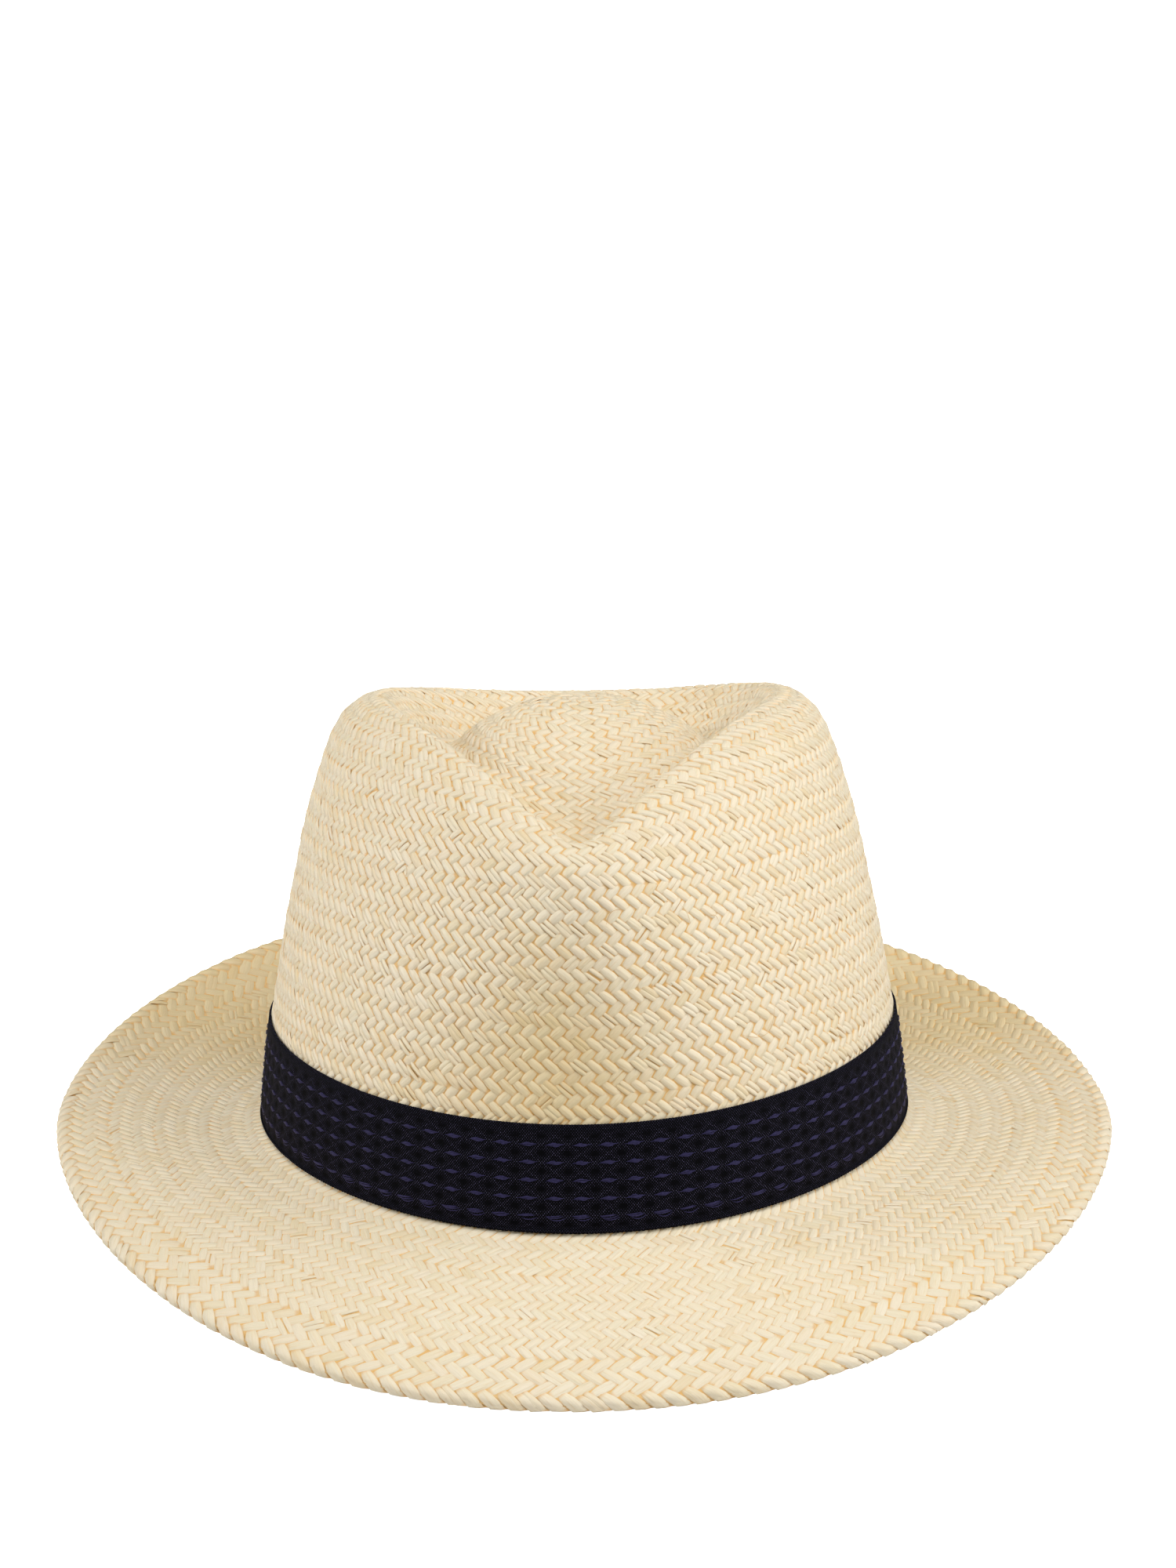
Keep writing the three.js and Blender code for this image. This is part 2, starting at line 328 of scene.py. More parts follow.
def through_sections(rings):
    """Rings along a centripetal Catmull-Rom curve through the sections at each angle. Past the tip
    the curve goes on to the far side, and past the edge it goes straight on."""
    far_side = np.roll(rings[1:2], rings.shape[1] // 2, axis=1)
    before = np.concatenate([far_side, rings[:-2]])
    after = np.concatenate([rings[2:], 2 * rings[-1:] - rings[-2:-1]])
    here, following = rings[:-1], rings[1:]

    def span(a, b):
        return np.sqrt(np.linalg.norm(b - a, axis=-1, keepdims=True)) + 1e-7

    d0, d1, d2 = span(before, here), span(here, following), span(following, after)

    def slope(a, b, c, da, db):
        return ((b - a) / da - (c - a) / (da + db) + (c - b) / db) * d1

    m1 = slope(before, here, following, d0, d1)[:, None]
    m2 = slope(here, following, after, d1, d2)[:, None]
    t = (np.arange(STEPS) / STEPS)[None, :, None, None]
    curve = here[:, None] * (2 * t**3 - 3 * t**2 + 1) + m1 * (t**3 - 2 * t**2 + t)
    curve = curve + following[:, None] * (3 * t**2 - 2 * t**3) + m2 * (t**3 - t**2)
    return np.concatenate([curve.reshape(-1, *rings.shape[1:]), rings[-1:]])


def unit(vectors):
    """Vectors brought to a length of 1."""
    return vectors / np.maximum(np.linalg.norm(vectors, axis=-1, keepdims=True), 1e-15)


def length_round(ring):
    """Length of a closed ring of points."""
    return float(np.linalg.norm(np.roll(ring, -1, axis=0) - ring, axis=-1).sum())


def way_along(lines, least=0.0):
    """How far along its line each point is, as a share of the whole line, and the lengths of the
    lines. Each step is longer by least, for lines that may shrink to a point."""
    steps = np.linalg.norm(np.diff(lines, axis=1), axis=-1) + least
    way = np.concatenate([np.zeros((len(lines), 1)), np.cumsum(steps, axis=1)], axis=1)
    return way / way[:, -1:], way[:, -1]


def read_off(values, positions, wanted):
    """Each line of values, known at rising positions, at the wanted positions, by straight lines
    in between."""
    lines = len(values)
    apart = (2.0 * max(positions.max(), wanted.max()) + 1.0) * np.arange(lines)[:, None]
    known = (positions + apart).ravel()
    at = (np.broadcast_to(wanted, (lines, wanted.shape[-1])) + apart).ravel()
    read = [np.interp(at, known, values[..., k].ravel()) for k in range(values.shape[-1])]
    return np.stack(read, -1).reshape(lines, -1, values.shape[-1])


def even_rings(curve, first, last, levels, columns):
    """Rings between two sections, level by level as a share of the way down each meridian, each
    ring cut into columns of even length that start in front. Also the mean length of the way."""
    part = curve[first * STEPS : last * STEPS + 1].transpose(1, 0, 2)
    down, total = way_along(part)
    rings = read_off(part, down, levels).transpose(1, 0, 2)
    closed = np.concatenate([rings, rings[:, :1]], axis=1)
    round_way, _ = way_along(closed, 1e-9)
    return read_off(closed, round_way, np.arange(columns) / columns), float(total.mean())


def outward(rings):
    """Unit normals of a grid of rings that go down the outside: the way down crossed with the way
    round."""
    down = np.gradient(rings, axis=0)
    round_way = np.roll(rings, -1, axis=1) - np.roll(rings, 1, axis=1)
    return unit(np.cross(down, round_way))


def between_rings(grids, row, way):
    """Each grid of rings at a row, which may be a fraction, and a share of the way round, by
    straight lines between the four nearest points."""
    rows, columns = grids[0].shape[:2]
    low = np.clip(np.floor(row).astype(int), 0, rows - 2)
    down = (row - low)[..., None]
    column = np.mod(way, 1.0) * columns
    left = np.floor(column).astype(int)
    over = (column - left)[..., None]
    left = left % columns
    right = (left + 1) % columns

    def blend(grid):
        upper = grid[low, left] * (1 - over) + grid[low, right] * over
        lower = grid[low + 1, left] * (1 - over) + grid[low + 1, right] * over
        return upper * (1 - down) + lower * down

    return [blend(grid) for grid in grids]


class WovenSheet:
    """The straw as one sheet that can be read at any level and any share of the way round. Levels
    go from the tip down the outside, round the rim, and back up the inside to the tip."""

    columns = 1080
    fine = 0.0004  # from one ring to the next
    rim_steps = 10

    def __init__(self, form):
        sections = hat_sections(form)
        angles = 2 * np.pi * np.arange(720) / 720
        curve = through_sections(section_rings(form, sections, angles))
        turn = Matrix.Rotation(form.rest_pitch, 3, "X") @ Matrix.Rotation(form.rest_roll, 3, "Y")
        self.curve = curve @ np.array(turn).T
        _, self.crown = even_rings(self.curve, 0, FOOT, np.array([0.0, 1.0]), 8)
        _, self.brim = even_rings(self.curve, FOOT, EDGE, np.array([0.0, 1.0]), 8)
        self.rim = form.rim_wall / 2
        self.edge_level = self.crown + self.brim - self.rim
        crown_levels = np.linspace(0, 1, round(self.crown / self.fine) + 1)
        brim_levels = np.linspace(0, 1 - self.rim / self.brim, round(self.brim / self.fine) + 1)
        top, _ = even_rings(self.curve, 0, FOOT, crown_levels, self.columns)
        low, _ = even_rings(self.curve, FOOT, EDGE, brim_levels, self.columns)
        outer = np.concatenate([top, low[1:]])
        brim_way = self.crown + brim_levels[1:] * self.brim
        levels = np.concatenate([crown_levels * self.crown, brim_way])
        normals = outward(outer)
        tip = normals[4].mean(axis=0)
        normals[:4] = unit(tip)
        to_rim = np.clip((levels - self.edge_level) / form.rim_swell + 1, 0, 1)
        wall = form.straw_wall + (form.rim_wall - form.straw_wall) * to_rim
        inner = outer - normals * wall[:, None, None]
        out = outer[-1] - outer[-3]
        out = unit(out - normals[-1] * (out * normals[-1]).sum(-1, keepdims=True))
        bend = (np.pi * np.arange(1, self.rim_steps) / self.rim_steps)[:, None, None]
        rim_normals = normals[-1] * np.cos(bend) + out * np.sin(bend)
        rim_points = outer[-1] - normals[-1] * self.rim + rim_normals * self.rim
        rim_levels = self.edge_level + self.rim * bend.ravel()
        self.far = self.edge_level + np.pi * self.rim
        self.points = np.concatenate([outer, rim_points, inner[::-1]])
        self.normals = np.concatenate([normals, rim_normals, -normals[::-1]])
        inner_levels = self.far + self.edge_level - levels[::-1]
        self.levels = np.concatenate([levels, rim_levels, inner_levels])
        self.total = float(self.levels[-1])
        self.set_down()

    def set_down(self):
        """Shifts the sheet so that its box stands where the CAD body's does."""
        low, high = self.points.min((0, 1)), self.points.max((0, 1))
        cad_low, cad_high = (np.array(corner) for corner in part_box("straw_body"))
        shift = (cad_low + cad_high - low - high) / 2
        shift[2] = cad_low[2] - low[2]
        if np.abs(high + shift - cad_high).max() > MM:
            raise RuntimeError("the drawn form doesn't match the CAD body: check HatForm")
        self.points = self.points + shift
        self.curve = self.curve + shift

    def at(self, level, way_round):
        """Points and normals at levels and shares of the way round."""
        row = np.interp(level, self.levels, np.arange(len(self.levels)))
        point, normal = between_rings((self.points, self.normals), row, way_round)
        return point, unit(normal)

    def ring_length(self, level):
        """Length of the ring at one level."""
        row = np.interp(level, self.levels, np.arange(len(self.levels)))
        return length_round(self.points[int(round(float(row)))])


# --- Meshes -------------------------------------------------------------------------------------


def placed(name, data):
    """A new object in the scene."""
    made = bpy.data.objects.new(name, data)
    bpy.context.scene.collection.objects.link(made)
    return made


def grid_quads(rows, columns, wrapped=False):
    """Corners of the quads of one grid of points, rows by columns, wound the way that faces along
    rows crossed with columns."""
    across = columns if wrapped else columns - 1
    row, column = np.meshgrid(np.arange(rows - 1), np.arange(across), indexing="ij")
    after = (column + 1) % columns
    a, b = row * columns + column, (row + 1) * columns + column
    c, d = (row + 1) * columns + after, row * columns + after
    return np.stack([a, b, c, d], -1).reshape(-1, 4)


def many_quads(count, rows, columns):
    """Quads of many such grids, whose points come one grid after the other."""
    first = np.arange(count)[:, None, None] * rows * columns
    return (grid_quads(rows, columns)[None] + first).reshape(-1, 4)


def pairs(a, b, shape):
    """Two arrays spread to one shape, as one list of pairs of numbers."""
    return np.stack([np.broadcast_to(a, shape), np.broadcast_to(b, shape)], -1).reshape(-1, 2)


def new_piece(name, points, faces, material, uv=None, values=None, replaces=None):
    """A smooth mesh object from whole arrays. faces is a list of arrays of three or four corners,
    uv holds two numbers a point for each UV map, and values one number a point."""
    mesh = bpy.data.meshes.new(name)
    corners = np.concatenate([f.ravel() for f in faces]).astype(np.int32)
    sizes = np.concatenate([np.full(len(f), f.shape[1]) for f in faces])
    starts = np.concatenate([[0], np.cumsum(sizes)[:-1]]).astype(np.int32)
    mesh.vertices.add(len(points))
    mesh.vertices.foreach_set("co", points.astype(np.float32).ravel())
    mesh.loops.add(len(corners))
    mesh.loops.foreach_set("vertex_index", corners)
    mesh.polygons.add(len(starts))
    mesh.polygons.foreach_set("loop_start", starts)
    mesh.polygons.foreach_set("use_smooth", np.ones(len(starts), bool))
    for layer, coordinates in (uv or {}).items():
        made = mesh.uv_layers.new(name=layer)
        made.data.foreach_set("uv", coordinates[corners].astype(np.float32).ravel())
    for layer, numbers in (values or {}).items():
        made = mesh.attributes.new(layer, "FLOAT", "POINT")
        made.data.foreach_set("value", numbers.astype(np.float32).ravel())
    mesh.update(calc_edges=True)
    if mesh.validate(verbose=False):
        raise RuntimeError(f"{name} had faces that aren't valid")
    mesh.materials.append(material)
    piece = placed(name, mesh)
    if replaces:
        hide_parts(replaces)
    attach(piece, "root")
    return piece


# --- Shader maths -------------------------------------------------------------------------------


def operator(operation, swapped=False, clamp=False):
    """A method that adds a Math node to a wire's material, with the wire first or last."""

    def apply(wire, *others):
        terms = (*others, wire) if swapped else (wire, *others)
        options = {"operation": operation, "use_clamp": clamp}
        return wire.tree.node("ShaderNodeMath", options, dict(enumerate(terms)))

    return apply


class Wire:
    """An output socket that can be used in Python expressions. On values each operator adds a Math
    node."""

    def __init__(self, tree, socket):
        self.tree = tree
        self.socket = socket

    __add__ = __radd__ = operator("ADD")
    __sub__ = operator("SUBTRACT")
    __rsub__ = operator("SUBTRACT", swapped=True)
    __mul__ = __rmul__ = operator("MULTIPLY")
    __truediv__ = operator("DIVIDE")
    __pow__ = operator("POWER")
    absolute = operator("ABSOLUTE")
    sine = operator("SINE")

    def clamped(self):
        """The value, kept between 0 and 1."""
        return operator("ADD", clamp=True)(self, 0.0)

    def ramp(self, low, high, to_low=0.0, to_high=1.0):
        """Rises smoothly from to_low at low to to_high at high."""
        sockets = {"Value": self, 1: low, 2: high, 3: to_low, 4: to_high}
        options = {"interpolation_type": "SMOOTHSTEP"}
        return self.tree.node("ShaderNodeMapRange", options, sockets)


class Finish:
    """A material whose nodes are added by expressions."""

    def __init__(self, name):
        self.material = bpy.data.materials.new(name)
        self.material.use_nodes = True
        self.nodes = self.material.node_tree.nodes
        self.links = self.material.node_tree.links
        self.shader = self.nodes["Principled BSDF"]

    def node(self, kind, options=None, sockets=None, output=0):
        """Adds one node: its settings first, then the values or links of its sockets."""
        made = self.nodes.new(kind)
        for key, value in (options or {}).items():
            setattr(made, key, value)
        for key, value in (sockets or {}).items():
            self.feed(made.inputs[key], value)
        return Wire(self, made.outputs[output])

    def feed(self, socket, value):
        """Links a wire to a socket, or sets a plain value on it."""
        if isinstance(value, Wire):
            self.links.new(value.socket, socket)
        elif socket.type == "RGBA":
            socket.default_value = (*value, 1.0) if len(value) == 3 else value
        else:
            socket.default_value = value

    def mix(self, factor, a, b, blend="MIX"):
        """Colour a going to colour b."""
        sockets = {"Factor": factor, 6: a, 7: b}
        return self.node("ShaderNodeMix", {"data_type": "RGBA", "blend_type": blend}, sockets, 2)

    def scaled(self, vector, sizes):
        """A vector times three numbers."""
        sockets = {0: vector, 1: sizes}
        return self.node("ShaderNodeVectorMath", {"operation": "MULTIPLY"}, sockets)

    def uv(self, name):
        """A UV map of the piece."""
        return self.node("ShaderNodeUVMap", {"uv_map": name})

    def parts(self, vector):
        """The first two numbers of a vector."""
        made = self.nodes.new("ShaderNodeSeparateXYZ")
        self.feed(made.inputs[0], vector)
        return Wire(self, made.outputs[0]), Wire(self, made.outputs[1])

    def value(self, name):
        """A number that the mesh holds at each point."""
        return self.node("ShaderNodeAttribute", {"attribute_name": name}, output=2)

    def noise(self, vector, scale, detail=2.0, roughness=0.5):
        """Noise from 0 to 1 on a vector."""
        sockets = {"Vector": vector, "Scale": scale, "Detail": detail, "Roughness": roughness}
        return self.node("ShaderNodeTexNoise", {}, sockets)

    def raised(self, height, distance, strength=1.0):
        """Bump of a height from 0 to 1 over a distance in metres."""
        sockets = {"Height": height, "Distance": distance, "Strength": strength}
        self.feed(self.shader.inputs["Normal"], self.node("ShaderNodeBump", {}, sockets))

    def surface(self, **sockets):
        """Sets or links the shader's own sockets, with _ for a space."""
        for key, value in sockets.items():
            self.feed(self.shader.inputs[key.replace("_", " ")], value)


def strand_finish(name, colours, depth):
    """Split straw: pale cream to gold from strand to strand, fine fibres along it, darker with
    painted shade under the crown's pinch and on the back of the brim, and golden brown with painted
    shade where it turns down at its sides and tucks under at its ends."""
    straw = Finish(name)
    along, across = straw.parts(straw.uv("strand"))
    side = (across * 2.0 - 1.0).absolute()
    end = (along * 2.0 - 1.0).absolute()
    tone, cast = straw.value("tone"), straw.value("cast")
    fibre_way = straw.uv("fibres")
    streaks = straw.noise(straw.scaled(fibre_way, (0.13, 2.1, 1.0)), 1.0, 3.0, 0.65)
    threads = straw.noise(straw.scaled(fibre_way, (0.09, 4.4, 1.0)), 1.0, 2.0, 0.6)
    blotch = straw.noise(straw.scaled(fibre_way, (0.5, 0.9, 1.0)), 1.0, 2.0, 0.5)
    shown = colours.straw_light
    for factor, tint in (
        (tone.ramp(-0.6, 1.6), colours.straw_mid),
        (tone.ramp(0.72, 1.0, 0.0, 0.4), colours.straw_gold),
        (cast.ramp(0.62, 0.95, 0.0, 0.25), colours.straw_green),
        (cast.ramp(0.32, 0.05, 0.0, 0.3), colours.straw_rose),
        (streaks.ramp(0.5, 0.72, 0.0, 0.5), colours.straw_gold),
        (threads.ramp(0.5, 0.66, 0.0, 0.45), colours.straw_light),
        (blotch.ramp(0.55, 0.8, 0.0, 0.12), colours.straw_gold),
    ):
        shown = straw.mix(factor, shown, tint)
    # Painted shade: the straw darkens under the crown's pinch and on the back of the brim.
    shown = straw.mix(straw.value("aged"), shown, colours.shade_tint, "MULTIPLY")
    # Painted shade: golden brown where the strand turns down at its sides and tucks under its
    # neighbours at its ends, scaled by depth.
    tucked = side.ramp(0.78, 1.0, 0.0, 0.5) + end.ramp(0.58, 0.86, 0.0, 0.9)
    shown = straw.mix((tucked * depth).clamped(), shown, colours.gap)
    roughness = streaks.ramp(0.3, 0.8, 0.42, 0.6)
    straw.surface(Base_Color=shown, Roughness=roughness, Specular_IOR_Level=0.55)
    straw.raised(streaks * 0.7 + threads * 0.4, 0.00024)
    return straw.material


def core_finish(colours):
    """The inside of the weave, as its gaps show it: backs of strands in golden brown, partly
    painted shade of the gaps.
    """
    core = Finish("straw_core")
    place = core.node("ShaderNodeTexCoord", output=3)
    patches = core.noise(place, 420.0, 3.0, 0.6)
    # Painted shade in part: the core's golden browns are deeper and more orange than the strands.
    shown = core.mix(patches.ramp(0.35, 0.7), colours.gap, colours.core_light)
    core.surface(Base_Color=shown, Roughness=0.8, Specular_IOR_Level=0.15)
    core.raised(patches, 0.0002)
    return core.material


def fibre_finish(colours):
    """Loose hairs of straw."""
    hair = Finish("loose_fibre")
    place = hair.node("ShaderNodeTexCoord", output=3)
    shades = hair.noise(place, 160.0)
    shown = hair.mix(shades.ramp(0.35, 0.65), colours.fibre, colours.straw_gold)
    hair.surface(Base_Color=shown, Roughness=0.5)
    return hair.material


# --- The straw ----------------------------------------------------------------------------------

# What each strand is told by: a row of numbers for each of these
LEVEL, WAY, RUN_DOWN, RUN_ROUND, SIDE_DOWN, SIDE_ROUND, LIFT, DOME, BASE, SPLIT = range(10)
TONE, CAST, FIBRE_ALONG, FIBRE_ACROSS = range(10, 14)
# Grids of a strand: along it, 1 where it goes under, across it, and how it falls to its sides
FULL_GRID = (
    np.array([-1.42, -0.98, -0.4, 0.4, 0.98, 1.42]),
    np.array([-1.0, -0.82, 0.0, 0.82, 1.0]),
    np.array([1.9, 0.3, 0.0, 0.3, 1.9]),
)
SPARSE_GRID = (
    np.array([-1.42, -0.7, 0.7, 1.42]),
    np.array([-1.0, 0.0, 1.0]),
    np.array([1.0, 0.0, 1.0]),
)
NARROWED = 0.2  # how much narrower a strand gets towards where it goes under
CALM = 0.03  # how far from the tip and the rim rows don't wander


def weave_row(level, height, spacing, count, lean, offset, look):
    """One row of parallel strands, each a column of numbers. Half a run is half the row's height
    down and half the spacing round, each times the look's share, and goes down or up as lean says.
    Half a side stands square to the run, and is half the spacing times the sine of the run's
    slope."""
    around = spacing * count
    down, over = height / 2 * look["down"], spacing / 2 * look["over"]
    room = spacing / 2 * down / (down**2 + over**2) * look["wide"]
    numbers = [level, 0.0, lean * down, over / around, -over * room, lean * down * room / around]
    numbers += [look[key] for key in ("lift", "dome", "base", "split")]
    row = np.repeat(np.array(numbers)[:, None], count, axis=1)
    row[WAY] = (np.arange(count) + offset) / count
    return row


def look(*shares):
    """How the strands of one row look, as shares of the weave's own measures: the run down and
    over, the width, the lift, the dome, the height of its base in metres, and how often it's
    split."""
    return dict(zip(("down", "over", "wide", "lift", "dome", "base", "split"), shares))


CROWN_DOWN = look(1.12, 1.1, 1.0, 1.2, 1.1, 0.0, 1.0)
CROWN_UP = look(0.94, 0.8, 1.04, 0.84, 0.8, 0.0, 0.4)
FLAT = look(1.02, 1.02, 1.04, 1.0, 0.9, 0.0, 0.3)
FOLD = look(1.0, 1.0, 0.98, 1.25, 1.2, 0.0001, 0.5)


def rows_between(sheet, low, high, row_height, spacing, blocks, first):
    """Rows of a herringbone between two levels, leaning one way and the other by turns. The count
    of strands changes only from block to block of rows, as strands are added in weaving."""
    count = max(1, round((high - low) / row_height))
    height = (high - low) / count
    edges = [edge for edge in blocks if edge < count] + [count]
    rows = []
    for start, end in zip(edges[:-1], edges[1:]):
        around = sheet.ring_length(low + (start + end) / 2 * height)
        strands = max(7, round(around / spacing))
        for k in range(start, end):
            level = low + (k + 0.5) * height
            gap = sheet.ring_length(level) / strands
            rows.append((level, height, gap, strands, (first + k) % 2))
    return rows


def herringbone(rows, down_look, up_look):
    """Strands of rows that lean down to the right and up to the right by turns."""
    strands = []
    for level, height, spacing, count, odd in rows:
        look = up_look if odd else down_look
        lean = -1 if odd else 1
        strands.append(weave_row(level, height, spacing, count, lean, 0.5 * odd, look))
    return np.concatenate(strands, axis=1)


OUT_OF_LINE = 0.022  # how far a strand strays, as a share of half its run
UNEVEN_RUN, UNEVEN_WIDTH, UNEVEN_LIFT = 0.035, 0.03, 0.12  # how strands differ, as shares
WIDENED = 1.06  # how much wider than its room a strand is
HALF_SHARE, HALF_TURN, HALF_TONE = 0.07, 0.02, 0.12  # how the halves of a split strand differ
HALF_WIDENED = 1.17  # how much wider than its share a half is
HALF_RISE = 0.000025  # how far one half stands over the other


def loosened(strands, draw, split_share):
    """The strands as hands leave them: a little out of line, and some of them split along their
    length into two narrower ones that have parted slightly."""
    strands = strands.copy()
    count = strands.shape[1]
    strands[LEVEL] += draw.normal(0, OUT_OF_LINE, count) * np.abs(strands[RUN_DOWN])
    strands[WAY] += draw.normal(0, OUT_OF_LINE, count) * np.abs(strands[RUN_ROUND])
    strands[RUN_DOWN] *= 1 + draw.normal(0, UNEVEN_RUN, count)
    strands[RUN_ROUND] *= 1 + draw.normal(0, UNEVEN_RUN, count)
    strands[[SIDE_DOWN, SIDE_ROUND]] *= WIDENED + draw.normal(0, UNEVEN_WIDTH, count)
    strands[LIFT] *= 1 + draw.normal(0, UNEVEN_LIFT, count)
    tone, cast = draw.beta(1.6, 1.9, count), draw.random(count)
    strands = np.concatenate([strands, [tone, cast], draw.random((2, count)) * 40])
    chosen = draw.random(count) < split_share * strands[SPLIT]
    whole_ones, parted = strands[:, ~chosen], strands[:, chosen]
    count = parted.shape[1]
    halves = []
    for way in (-1, 1):
        half = parted.copy()
        part = np.clip(0.5 + way * draw.normal(0.0, HALF_SHARE, count), 0.32, 0.68)
        shift = way * (1 - part)
        turn = way * draw.normal(0.0, HALF_TURN, count)
        half[[LEVEL, WAY]] += parted[[SIDE_DOWN, SIDE_ROUND]] * shift
        half[[RUN_DOWN, RUN_ROUND]] += parted[[SIDE_DOWN, SIDE_ROUND]] * turn
        half[[SIDE_DOWN, SIDE_ROUND]] *= part * HALF_WIDENED
        half[DOME] *= 0.5
        half[BASE] += draw.normal(0, HALF_RISE, count)
        half[TONE] = np.clip(half[TONE] + draw.normal(0, HALF_TONE, count), 0, 1)
        half[FIBRE_ALONG] += draw.random(count) * 9
        halves.append(half)
    return np.concatenate([whole_ones, *halves], axis=1)


def shaded(sheet, level, point):
    """How far the straw is darkened by painted shade, from 0 to 1. Under the pinch it's a bell
    across the front of the crown that widens downwards and fades out upwards. On the brim it grows
    towards the back and outwards from the crown's foot. It ends at the rim."""
    x, y, z = np.moveaxis(point, -1, 0)
    pinch_x, pinch_top, fade = -0.006, 0.1, 0.03
    bell, widening, bell_top = 0.014, 0.45, 0.088
    side_on, brim_start, rim_fade = 0.02, 0.01, 0.002
    outside = np.clip((sheet.far - level) / rim_fade, 0, 1)
    wide = bell + widening * np.clip(bell_top - z, 0, 1)
    under_pinch = np.exp(-((x - pinch_x) ** 2) / wide**2) * np.clip((pinch_top - z) / fade, 0, 1)
    in_front = np.clip((-y - side_on) / side_on, 0, 1) * (level < sheet.crown)
    behind = np.clip((y - side_on) / 0.05, 0, 1)
    on_brim = np.clip((level - sheet.crown) / brim_start, 0, 1)
    return np.clip(under_pinch * in_front + behind * on_brim, 0, 1) * outside


def strand_piece(name, strands, draw, split_share, lift, material, sparse=False):
    """One mesh of many strands. A strand is a grid along and across itself. Over the sheet it
    stands as the cosine of its way along, so that it arches over its neighbours and dives under
    them at its ends, less a drop that grows towards its sides."""
    sheet, waviness = woven_sheet(), settings("straw_weave").waviness
    strands = loosened(strands, draw, split_share)
    along, across, drop = SPARSE_GRID if sparse else FULL_GRID
    t, w = along[None, :, None], across[None, None, :]
    side = w * (1 - NARROWED * t**2)
    column = [row[:, None, None] for row in strands]
    level = column[LEVEL] + t * column[RUN_DOWN] + side * column[SIDE_DOWN]
    way = column[WAY] + t * column[RUN_ROUND] + side * column[SIDE_ROUND]
    calm = np.clip(np.minimum(level, np.abs(sheet.edge_level - level)) / CALM, 0, 1)
    swing = np.sin(2 * np.pi * (3 * way + 9 * level)) + np.sin(2 * np.pi * (8 * way - 14 * level))
    level = np.clip(level + waviness * calm * swing / 2, 0.0001, sheet.total - 0.0001)
    point, normal = sheet.at(level, way)
    arch = np.cos(np.pi / 2 * t / 1.2)
    stand = lift * (column[LIFT] * arch - column[DOME] * 0.8 * drop) + column[BASE]
    point = point + normal * stand[..., None]
    point[..., 2] = np.maximum(point[..., 2], CAD_LOW[2])
    shape = level.shape
    half_wide = np.linalg.norm(point[:, :, -1] - point[:, :, 0], axis=-1).mean(1) / MM / 2
    half_long = np.linalg.norm(point[:, -1] - point[:, 0], axis=-1).mean(1) / MM / 2
    fibre_along = column[FIBRE_ALONG] + t / along[-1] * half_long[:, None, None]
    fibre_across = column[FIBRE_ACROSS] + w * half_wide[:, None, None]
    return new_piece(
        name,
        point.reshape(-1, 3),
        [many_quads(*shape)],
        material,
        uv={
            "strand": pairs(0.5 + 0.5 * t / along[-1], 0.5 + 0.5 * w, shape),
            "fibres": pairs(fibre_along, fibre_across, shape),
        },
        values={
            "tone": np.broadcast_to(column[TONE], shape),
            "cast": np.broadcast_to(column[CAST], shape),
            "aged": shaded(sheet, level, point),
        },
    )


def core_shell(sheet, depth, material):
    """The closed core: the sheet's own rings, sunk under both faces by a depth."""
    rows, columns, tip_hole = 220, 200, 0.0008
    levels = np.linspace(tip_hole, sheet.total - tip_hole, rows)
    way = np.arange(columns) / columns
    point, normal = sheet.at(levels[:, None], way[None, :])
    rings = point - normal * depth
    ends = np.stack([rings[0].mean(0), rings[-1].mean(0)])
    quads = grid_quads(rows, columns, wrapped=True)
    tip, last = rows * columns, (rows - 1) * columns
    n = np.arange(columns)
    after = (n + 1) % columns
    top = np.stack([np.full(columns, tip), n, after], -1)
    bottom = np.stack([np.full(columns, tip + 1), last + after, last + n], -1)
    points = np.concatenate([rings.reshape(-1, 3), ends])
    return new_piece(
        "straw_core", points, [quads, top, bottom], material, replaces="straw_body"
    )


def mirrored_inside(sheet, strands):
    """The back of a weave: where a strand shows on the face, its crossing one shows behind."""
    back = strands.copy()
    back[LEVEL] = sheet.far + sheet.edge_level - strands[LEVEL]
    back[WAY] = strands[WAY] - strands[RUN_ROUND]
    return back


TIP_BLOCKS = [0, 1, 2, 3, 4, 6, 8, 10, 13, 16, 20, 24, 28, 32]
WALL_BLOCKS = [0, 9, 18]
BRIM_BLOCKS = [0, 5, 10]


def crown_rows(sheet, weave):
    """Rows of the crown from the tip to the foot, split where the tip gives way to the wall."""
    parting = sheet.crown * 36 / 63
    args = (weave.crown_row, weave.crown_spacing)
    tip = rows_between(sheet, 0.0, parting, *args, TIP_BLOCKS, 0)
    wall = rows_between(sheet, parting, sheet.crown, *args, WALL_BLOCKS, len(tip))
    return tip, wall


def brim_rows(sheet, weave):
    """Rows of the brim from the crown's foot to the ring line."""
    end = sheet.edge_level - weave.border - 0.0002
    args = (weave.brim_row, weave.brim_spacing)
    return rows_between(sheet, sheet.crown, end, *args, BRIM_BLOCKS, 1)


def border_strands(sheet, weave):
    """The border outside the ring line: three rows of long shallow strands, the plaited edge,
    whose strands fold round the rim, and four rows under the brim."""
    start, count = sheet.edge_level - weave.border, weave.border_strands
    spacing = sheet.ring_length(sheet.edge_level) / count

    def block_of_rows(rows, first, height):
        made = []
        for k in range(rows):
            odd = k % 2
            level, lean = first + k * height, 1 if odd else -1
            made.append(weave_row(level, height, spacing, count, lean, 0.5 * odd, FLAT))
        return np.concatenate(made, axis=1)

    row, below = weave.border * 0.262, weave.border / 4
    low, high = start + 3 * row, sheet.far - 0.0006
    edge = weave_row((low + high) / 2, (high - low) * 0.78, spacing, count, 1, 0.5, FOLD)
    on_top = block_of_rows(3, start + 0.56 * row, row)
    return on_top, edge, block_of_rows(4, sheet.far + 0.55 * below, below)


# --- Operators ----------------------------------------------------------------------------------

shared = {}


